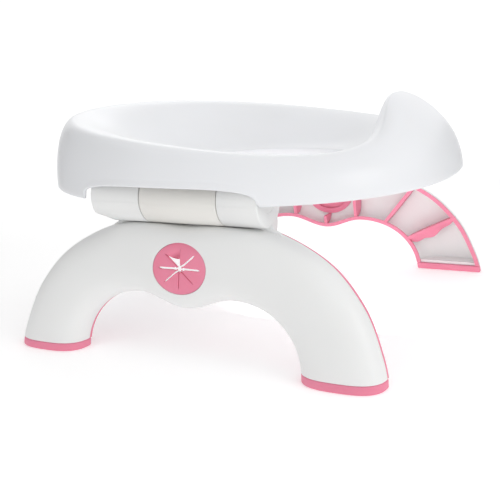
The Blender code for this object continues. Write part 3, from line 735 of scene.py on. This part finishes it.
def make_leg():
    """The right leg's hard shell with its moving knuckles."""
    shell = leg_block("leg_moulding_right", near=0.3, foot=PAD_HEIGHT + GAP, material=SATIN_WHITE)
    room = {"wall": -OUTLINE_ROOM, "flat": RIM_DEPTH + RIM_PLAY}
    combine(shell, "DIFFERENCE", leg_block("rim_room", near=-8.0, foot=-8.0, **room))
    combine(shell, "DIFFERENCE", hinge_groove())
    start = FIXED_HALF_LENGTH + SEAM
    for way in (-1, 1):
        knuckle = make_knuckle(way, start, BARREL_ENDS[way])
        if way > 0:
            reach = (HINGE_X - 2 * KNUCKLE_RADIUS, HINGE_X + 2 * KNUCKLE_RADIUS)
            heel = loft("heel", [[(x, LEG_Y + y, z) for y, z in BARREL_HEEL] for x in reach])
            combine(knuckle, "DIFFERENCE", heel)
        lug_ends = (LEG_Y + way * (start + GAP), LEG_Y + way * LUG_ENDS[way])
        lug = loft("lug", [[(x, y, z) for x, z in LUG_PROFILE] for y in lug_ends])
        combine(lug, "DIFFERENCE", leg_block("lug_room", near=-0.3, **room))
        combine(shell, "UNION", knuckle, lug, lug_flare(way, lug_ends[1]))
    floor = PAD_HEIGHT + GAP + LEG_WALL
    cavity = leg_block("cavity", near=RIM_DEPTH - OVERCUT, wall=LEG_WALL, foot=floor)
    combine(shell, "DIFFERENCE", cavity)
    combine(shell, "DIFFERENCE", disc_prism("disc_hole", GAP))
    combine(shell, "DIFFERENCE", hinge_cylinder("bore", -BORE_REACH, BORE_REACH, PIN_RADIUS + 0.08))
    for way in (-1, 1):
        start, end = way * (BARREL_ENDS[way] - CAP_THICKNESS), way * (BARREL_ENDS[way] + OVERCUT)
        combine(shell, "DIFFERENCE", hinge_cylinder("cap_seat", start, end, CAP_RADIUS + 0.12))
    soften(shell, 0.5)
    return shell


def hinge_groove():
    """The room for the barrel in the leg's top."""
    return hinge_cylinder("groove", -GROOVE_REACH, GROOVE_REACH, KNUCKLE_RADIUS + 2 * GAP)


def lug_flare(way, end):
    """A sweep down from a lug's end to the leg's upper edge."""
    low_x, high_x = LUG_FLARE_X
    rings = []
    for out, top in LUG_FLARE:
        corners = ((low_x, 90.0), (high_x, 90.0), (high_x, top), (low_x, top))
        rings.append([(x, end + way * (out - 0.2), z) for x, z in corners])
    return loft("flare", rings)


def make_knuckle(way, start, end):
    """A moving knuckle with rounded edges and a thin lip that closes the seam to the fixed one."""
    lip = start - SEAM_LIP
    profile = [
        (start, 2.0), (start, LIP_INNER_RADIUS), (lip, LIP_INNER_RADIUS + 0.2),
        (lip, KNUCKLE_RADIUS - 0.4), (lip + 0.12, KNUCKLE_RADIUS - 0.12), (lip + 0.4, KNUCKLE_RADIUS),
    ]
    for turn in np.linspace(0, QUARTER, 5):
        inward = KNUCKLE_EDGE * (1 - math.cos(turn))
        profile.append((end - KNUCKLE_EDGE * (1 - math.sin(turn)), KNUCKLE_RADIUS - inward))
    profile = [(way * at, radius) for at, radius in profile]
    return turned("knuckle", (HINGE_X, LEG_Y, HINGE_Z), "Y", profile, sides=BARREL_SIDES)


def disc_prism(name, grow):
    """An elliptical prism through the leg's outer wall, where grow is added to the disc's outline."""
    turns = np.linspace(0, 2 * math.pi, 96, endpoint=False)
    rings = []
    for depth in (LEG_DEPTH / 4, 2 * LEG_DEPTH):
        x, y, z = leg_point(0.0, DISC_HEIGHT, depth)
        rings.append([
            (x, y + (DISC_HALF_WIDTH + grow) * math.cos(t), z + (DISC_HALF_HEIGHT + grow) * math.sin(t))
            for t in turns
        ])
    return loft(name, rings)


def make_trim():
    """The soft rim round the leg's open side, with its ribs."""
    foot = PAD_HEIGHT + GAP
    trim = leg_block("grip_trim_right", near=0.0, foot=foot, flat=RIM_DEPTH, material=SOFT_PINK)
    inside = leg_block(
        "rim_inside", near=-OVERCUT, wall=RIM_WIDTH, foot=foot - OVERCUT, flat=RIM_DEPTH + OVERCUT
    )
    combine(trim, "DIFFERENCE", inside)
    ribs = [rib_slab(way, *ends) for way in (-1, 1) for ends in RIBS]
    disc_bottom = DISC_HEIGHT - DISC_HALF_HEIGHT - DISC_FLANGE - GAP
    ribs.append(rib_slab(1, (0.0, ARCH_MIDDLE), (0.0, disc_bottom), end_room=0.0))
    for rib in ribs:
        plug = leg_block("plug", near=RIB_RECESS, wall=LEG_WALL + 2 * GAP, foot=foot + LEG_WALL + GAP)
        combine(rib, "INTERSECT", plug)
        combine(trim, "UNION", rib)
    for way in (-1, 1):
        combine(trim, "UNION", bag_flap(way))
    combine(trim, "DIFFERENCE", hinge_groove())
    soften(trim, 0.7)
    return trim


def rib_slab(way, inner, outer, end_room=4.0):
    """A slab across the leg from the inner outline point to the outer one, thinner at its deep edge."""
    inner, outer = np.array(inner), np.array(outer)
    along = (outer - inner) / np.linalg.norm(outer - inner)
    across = np.array((-along[1], along[0])) * RIB_THICKNESS / 2
    start, end = inner - along * end_room, outer + along * min(end_room, 1.0)
    rings = []
    for depth, share in ((-OVERCUT, 1.0), (LEG_DEPTH, 0.7)):
        half = across * share
        corners = [start - half, start + half, end + half, end - half]
        rings.append([leg_point(way * y, z, depth) for y, z in corners])
    return loft("rib", rings)


def bag_flap(way):
    """A soft leaf that stands out from the lowest rib towards the foot, with a waved free edge."""
    inner, outer = (np.array(end) for end in RIBS[-1])
    along = (outer - inner) / np.linalg.norm(outer - inner)
    down = np.array((along[1], -along[0]))
    length = np.linalg.norm(outer - inner)
    rows = {1: [], -1: []}
    low, high = FLAP_SPAN
    for share in np.linspace(low, high, 41):
        across = (share - low) / (high - low)
        reach = FLAP_LENGTH * math.sin(math.pi * across**0.62) ** 0.6
        reach *= 1 + 0.12 * math.sin(across * 5.2 * math.pi)
        for face in rows:
            line = []
            for out in np.linspace(0, 1, 13):
                spot = inner + along * length * share + down * (out * max(reach, 0.6) - 1.0)
                curl = 1.6 * math.sin(across * 3.4 * math.pi) * out**1.5 + 1.4 * out**2
                thick = FLAP_THICKNESS * (0.5 - 0.16 * out)
                depth = FLAP_DEPTH + curl + face * thick
                line.append(leg_point(way * spot[0], spot[1], depth))
            rows[face].append(line)
    rings = [top + bottom[::-1] for top, bottom in zip(rows[1], rows[-1])]
    return loft("flap", rings)


def make_disc():
    """The soft oval patch: eight flaps round a star of slits, then a plain ring."""
    flap_reaches = np.linspace(0.0, SLIT_REACH, FLAP_ROWS + 1)
    reaches = np.concatenate((flap_reaches, np.linspace(SLIT_REACH, 1.0, RING_ROWS + 1)[1:]))
    bm = bmesh.new()
    faces = []
    for depth_in in (0.0, DISC_THICKNESS):
        grid = {}
        for flap in range(FLAPS):
            for step in range(FLAP_STEPS + 1):
                turn = (flap + step / FLAP_STEPS) * 2 * math.pi / FLAPS
                for row, reach in enumerate(reaches):
                    key = disc_key(flap, step, row)
                    if key not in grid:
                        point = disc_point(flap, step / FLAP_STEPS, turn, reach, depth_in)
                        grid[key] = bm.verts.new(point)
        for flap in range(FLAPS):
            for step in range(FLAP_STEPS):
                for row in range(len(reaches) - 1):
                    corners = [
                        grid[disc_key(flap, step + a, row + b)]
                        for a, b in ((0, 0), (1, 0), (1, 1), (0, 1))
                    ]
                    bm.faces.new(corners[::-1] if depth_in else corners)
        faces.append(grid)
    close_disc_edges(bm, *faces)
    disc = make_object("disc_trim_right", bm, SOFT_PINK)
    soften(disc, 0.25, angle=50.0, segments=2)
    return disc


def disc_key(flap, step, row):
    """The key of a grid point. Neighbouring flaps share their points only in the plain ring."""
    if row >= FLAP_ROWS:
        return "ring", (flap * FLAP_STEPS + step) % (FLAPS * FLAP_STEPS), row
    return flap, step, row


def disc_point(flap, across, turn, reach, depth_in):
    """A point of the patch. A flap's sides keep off its slits and its tip bends into the leg."""
    y = DISC_HALF_WIDTH * reach * math.cos(turn)
    z = DISC_HALF_HEIGHT * reach * math.sin(turn)
    inside = max(0.0, 1 - reach / SLIT_REACH)
    if inside > 0:
        next_flap = (flap + 1) % FLAPS
        widths = SLIT_FLOORS if depth_in else SLIT_WIDTHS
        near, far = widths[flap] / 2, widths[next_flap] / 2
        push = near * (1 - across) - far * across
        open_up = min(1.0, inside * 8)
        y += -math.sin(turn) * push * open_up
        z += math.cos(turn) * push * open_up
        middle = (flap + 0.5) * 2 * math.pi / FLAPS
        tip = TIP_TRIM * math.exp(-((reach / TIP_REACH) ** 2))
        y += math.cos(middle) * tip
        z += math.sin(middle) * tip
    bend = FLAP_BENDS[flap] * inside**1.6
    y += math.cos(turn) * bend * BEND_SHIFT
    z += math.sin(turn) * bend * BEND_SHIFT
    depth = surface_depth(y, DISC_HEIGHT + z) - depth_in - bend
    return leg_point(y, DISC_HEIGHT + z, depth)


def close_disc_edges(bm, front, back):
    """Walls between the two faces: round the outline, along the slits and across the flaps' tips."""
    def wall(first, second):
        bm.faces.new((front[first], front[second], back[second], back[first]))

    around = FLAPS * FLAP_STEPS
    edge = FLAP_ROWS + RING_ROWS
    for step in range(around):
        wall(("ring", (step + 1) % around, edge), ("ring", step, edge))
    for flap in range(FLAPS):
        for step in (0, FLAP_STEPS):
            for row in range(FLAP_ROWS):
                wall(disc_key(flap, step, row), disc_key(flap, step, row + 1))
        for step in range(FLAP_STEPS):
            wall(disc_key(flap, step, 0), disc_key(flap, step + 1, 0))


def make_flange():
    """The ring of the patch that grips the wall from inside."""
    flange = leg_block("disc_flange_right", near=RIM_DEPTH, wall=LEG_WALL + GAP, material=SOFT_PINK)
    combine(flange, "INTERSECT", disc_prism("flange_outline", DISC_FLANGE))
    inner_wall = LEG_WALL + GAP + 1.4
    combine(flange, "DIFFERENCE", leg_block("flange_inside", near=-OVERCUT, wall=inner_wall))
    combine(flange, "DIFFERENCE", disc_prism("flange_hole", -2.2))
    soften(flange, 0.4)
    return flange


def make_foot(way, end):
    """The soft pad under one foot of the right leg."""
    pad = leg_block(f"foot_trim_{end}_right", near=0.0, top=PAD_HEIGHT, material=SOFT_PINK)
    if way < 0:
        for vertex in pad.data.vertices:
            vertex.co.y = 2 * LEG_Y * MM - vertex.co.y
        pad.data.flip_normals()
    soften(pad, 0.9, angle=50.0)
    return pad


def make_hinge_block():
    """The fixed middle knuckle with its waist and screwed flange."""
    half = FIXED_HALF_LENGTH
    body = hinge_cylinder("block_moulding_right", -half, half, KNUCKLE_RADIUS, WARM_WHITE, edge=0.6)
    for inner_x, outer_x, low, high, step in (
        (BLOCK_WAIST_X, BLOCK_OUTER_X, HINGE_Z, BLOCK_TOP - 1.0, 0.7),
        (BLOCK_INNER_X, BLOCK_OUTER_X - 2.0, BLOCK_TOP - BLOCK_FLANGE, BLOCK_TOP, 1.1),
    ):
        corner_a = np.array((inner_x, LEG_Y - half + step, low))
        corner_b = np.array((outer_x, LEG_Y + half - step, high))
        combine(body, "UNION", block("part", corner_a, corner_b))
    bore = hinge_cylinder("fixed_bore", -GROOVE_REACH, GROOVE_REACH, PIN_RADIUS + GAP)
    combine(body, "DIFFERENCE", bore)
    pocket = (half - PLUNGER_POCKET, half + OVERCUT)
    combine(body, "DIFFERENCE", hinge_cylinder("pocket", *pocket, PLUNGER_RADIUS + GAP, up=PLUNGER_UP))
    for number in (1, 2, 3):
        centre = (BOSS_X, boss_y(number), BLOCK_TOP - 10)
        profile = [(0, SCREW_RADIUS + GAP), (20, SCREW_RADIUS + GAP)]
        combine(body, "DIFFERENCE", turned("hole", centre, "Z", profile, sides=32))
    soften(body, 0.35)
    return body


def make_cap(way, end):
    """A pressed-in cap over the pin's end, with a shallow dish."""
    outer = BARREL_ENDS[way]
    profile = [
        (0.1, 7.4), (0.5, CAP_RADIUS), (CAP_THICKNESS - 0.3, CAP_RADIUS),
        (CAP_THICKNESS - 0.1, CAP_RADIUS - 0.15), (CAP_THICKNESS - 0.05, CAP_RADIUS - 0.4),
        (CAP_THICKNESS - 0.05, 3.4), (CAP_THICKNESS - 0.3, 2.6), (CAP_THICKNESS - 0.35, 0.4),
    ]
    profile = [(way * (outer - CAP_THICKNESS + at), radius) for at, radius in profile]
    return turned(f"pin_end_{end}_right", (HINGE_X, LEG_Y, HINGE_Z), "Y", profile, SATIN_WHITE)


def make_screw(number):
    """A pan-head screw with a cross recess and rolled threads."""
    centre = (BOSS_X, boss_y(number), BLOCK_TOP - BLOCK_FLANGE - GAP)
    profile = [*SCREW_HEAD, (0.0, SCREW_RADIUS)]
    root = SCREW_RADIUS - THREAD_DEPTH
    turn = 0.6
    while turn < THREADED_LENGTH:
        profile += [(turn, root), (turn + 0.3, SCREW_RADIUS), (turn + 0.6, root)]
        turn += THREAD_PITCH
    profile.append((7.6, 0.5))
    screw = turned(f"block_fixing_{number}_right", centre, "Z", profile, SCREW_STEEL, sides=48)
    for size in ((0.45, 2.0), (2.0, 0.45)):
        low = np.array(centre) - (size[0], size[1], 2.4)
        high = np.array(centre) + (size[0], size[1], -0.9)
        combine(screw, "DIFFERENCE", block("recess", low, high))
    return screw


# ---------------------------------------------------------------- assembly


def add_both(piece, slot, node, body):
    """Places a right-hand piece and its mirror image on the bodies and nodes of their own sides."""
    other = mirrored(piece, piece.name.replace("right", "left"))
    for obj, side in ((piece, "right"), (other, "left")):
        nodes = [node.format(side)] if node else []
        place(obj, body.format(side), slot, *nodes)


def make_legs():
    add_both(make_leg(), "satin_white", "leg_shell_{}", "leg_{}")
    add_both(make_trim(), "soft_pink", "grip_liner_{}", "leg_{}")
    add_both(make_disc(), "soft_pink", "slit_disc_{}", "leg_{}")
    add_both(make_flange(), "soft_pink", None, "leg_{}")
    for way, end in ((-1, "front"), (1, "rear")):
        add_both(make_foot(way, end), "soft_pink", f"foot_pad_{end}_{{}}", "leg_{}")
        add_both(make_cap(way, end), "satin_white", f"pin_cap_{end}_{{}}", "leg_{}")


def make_hinges():
    add_both(make_hinge_block(), "satin_white", "hinge_block_{}", "seat")
    for number in (1, 2, 3):
        add_both(make_screw(number), "steel", f"block_screw_{number}_{{}}", "seat")
    for side in ("left", "right"):
        for name, material in (
            ("hinge_pin", STEEL), ("detent_spring", STEEL), ("detent_plunger", ACETAL),
            ("hinge_washer_front", ACETAL), ("hinge_washer_rear", ACETAL),
        ):
            node = frame["nodes"][f"{name}_{side}"]
            for slot in node.material_slots:
                slot.material = material


# ---------------------------------------------------------------- studio


def make_floor():
    """A pale sweep under and behind the object."""
    bm = bmesh.new()
    width, near, far, height, radius = 6000.0, -2500.0, 3200.0, 3000.0, 900.0
    profile = [(near, 0.0), (far - radius, 0.0)]
    for turn in np.linspace(0, QUARTER, 13)[1:]:
        profile.append((far - radius + radius * math.sin(turn), radius * (1 - math.cos(turn))))
    profile.append((far, height))
    sides = (-width / 2, width / 2)
    skin(bm, [[(along, side, FOOT_LOW[2] + z) for along, z in profile] for side in sides])
    floor = make_object("studio_floor", bm)
    floor.data.transform(Matrix.Rotation(CAMERA_YAW, 4, "Z"))
    material, nodes, links, shader = new_material("studio_paper")
    paper = add_noise(nodes, links, 300.0, 4.0)
    add_colour(nodes, links, shader, paper.outputs["Fac"], (0.9, 0.9, 0.9), (0.92, 0.92, 0.92))
    shader.inputs["Roughness"].default_value = 0.9
    shader.inputs["Specular IOR Level"].default_value = 0.1
    shader.inputs["Emission Color"].default_value = (1.0, 1.0, 1.0, 1.0)
    shader.inputs["Emission Strength"].default_value = FLOOR_GLOW
    floor.data.materials.append(material)


def make_flag(name, to_left, top, shade):
    """A grey card beside the camera's view, which shades the end of the seat that faces it."""
    ahead = np.array((math.cos(CAMERA_YAW), math.sin(CAMERA_YAW), 0.0))
    left = np.array((-ahead[1], ahead[0], 0.0))
    foot = np.array((CAMERA_PLACE[0], CAMERA_PLACE[1], 0.0)) + left * to_left
    bm = bmesh.new()
    corners = [(0.45, 0.02), (1.3, 0.02), (1.3, top), (0.45, top)]
    bm.faces.new([bm.verts.new((foot + ahead * out + (0, 0, z)) / MM) for out, z in corners])
    flag = make_object(name, bm)
    material, nodes, links, shader = new_material(name + "_card")
    fibre = add_noise(nodes, links, 200.0, 4.0)
    add_colour(nodes, links, shader, fibre.outputs["Fac"], (shade - 0.02,) * 3, (shade + 0.02,) * 3)
    shader.inputs["Roughness"].default_value = 0.9
    flag.data.materials.append(material)
    flag.visible_camera = False


def add_area(name, place_at, aim, size, power):
    light = bpy.data.lights.new(name, "AREA")
    light.shape = "DISK"
    light.size = size
    light.energy = power
    obj = bpy.data.objects.new(name, light)
    bpy.context.scene.collection.objects.link(obj)
    obj.location = place_at
    obj.rotation_euler = (Vector(aim) - Vector(place_at)).to_track_quat("-Z", "Y").to_euler()
    return obj


def make_lights():
    world = bpy.data.worlds.new("studio")
    bpy.context.scene.world = world
    world.use_nodes = True
    background = world.node_tree.nodes["Background"]
    background.inputs["Color"].default_value = (1.0, 1.0, 1.0, 1.0)
    background.inputs["Strength"].default_value = WORLD_STRENGTH
    for lamp in LAMPS:
        add_area(*lamp)
    fill = add_area("floor_bounce", (-0.05, -0.06, 0.03), (0.14, -0.07, 0.08), 0.14, 0.13)
    fill.visible_camera = False
    fill.visible_glossy = False
    bpy.context.scene.view_settings.view_transform = "Standard"


def make_camera():
    camera = bpy.data.cameras.new("camera")
    camera.lens = CAMERA_LENS
    camera.sensor_width = 36.0
    obj = bpy.data.objects.new("camera", camera)
    bpy.context.scene.collection.objects.link(obj)
    ahead = Vector((
        math.cos(CAMERA_YAW) * math.cos(CAMERA_PITCH),
        math.sin(CAMERA_YAW) * math.cos(CAMERA_PITCH),
        -math.sin(CAMERA_PITCH),
    ))
    right = ahead.cross(Vector((0, 0, 1))).normalized()
    up = right.cross(ahead)
    tilted_right = right * math.cos(CAMERA_ROLL) + up * math.sin(CAMERA_ROLL)
    tilted_up = -right * math.sin(CAMERA_ROLL) + up * math.cos(CAMERA_ROLL)
    axes = Matrix((tilted_right, tilted_up, -ahead)).transposed()
    obj.matrix_world = Matrix.Translation(CAMERA_PLACE) @ axes.to_4x4()
    bpy.context.scene.camera = obj


make_seat()
make_legs()
make_hinges()
make_floor()
make_flag("studio_flag", 0.52, 0.7, 0.40)
make_flag("studio_low_flag", -0.52, 0.24, 0.30)
make_lights()
make_camera()
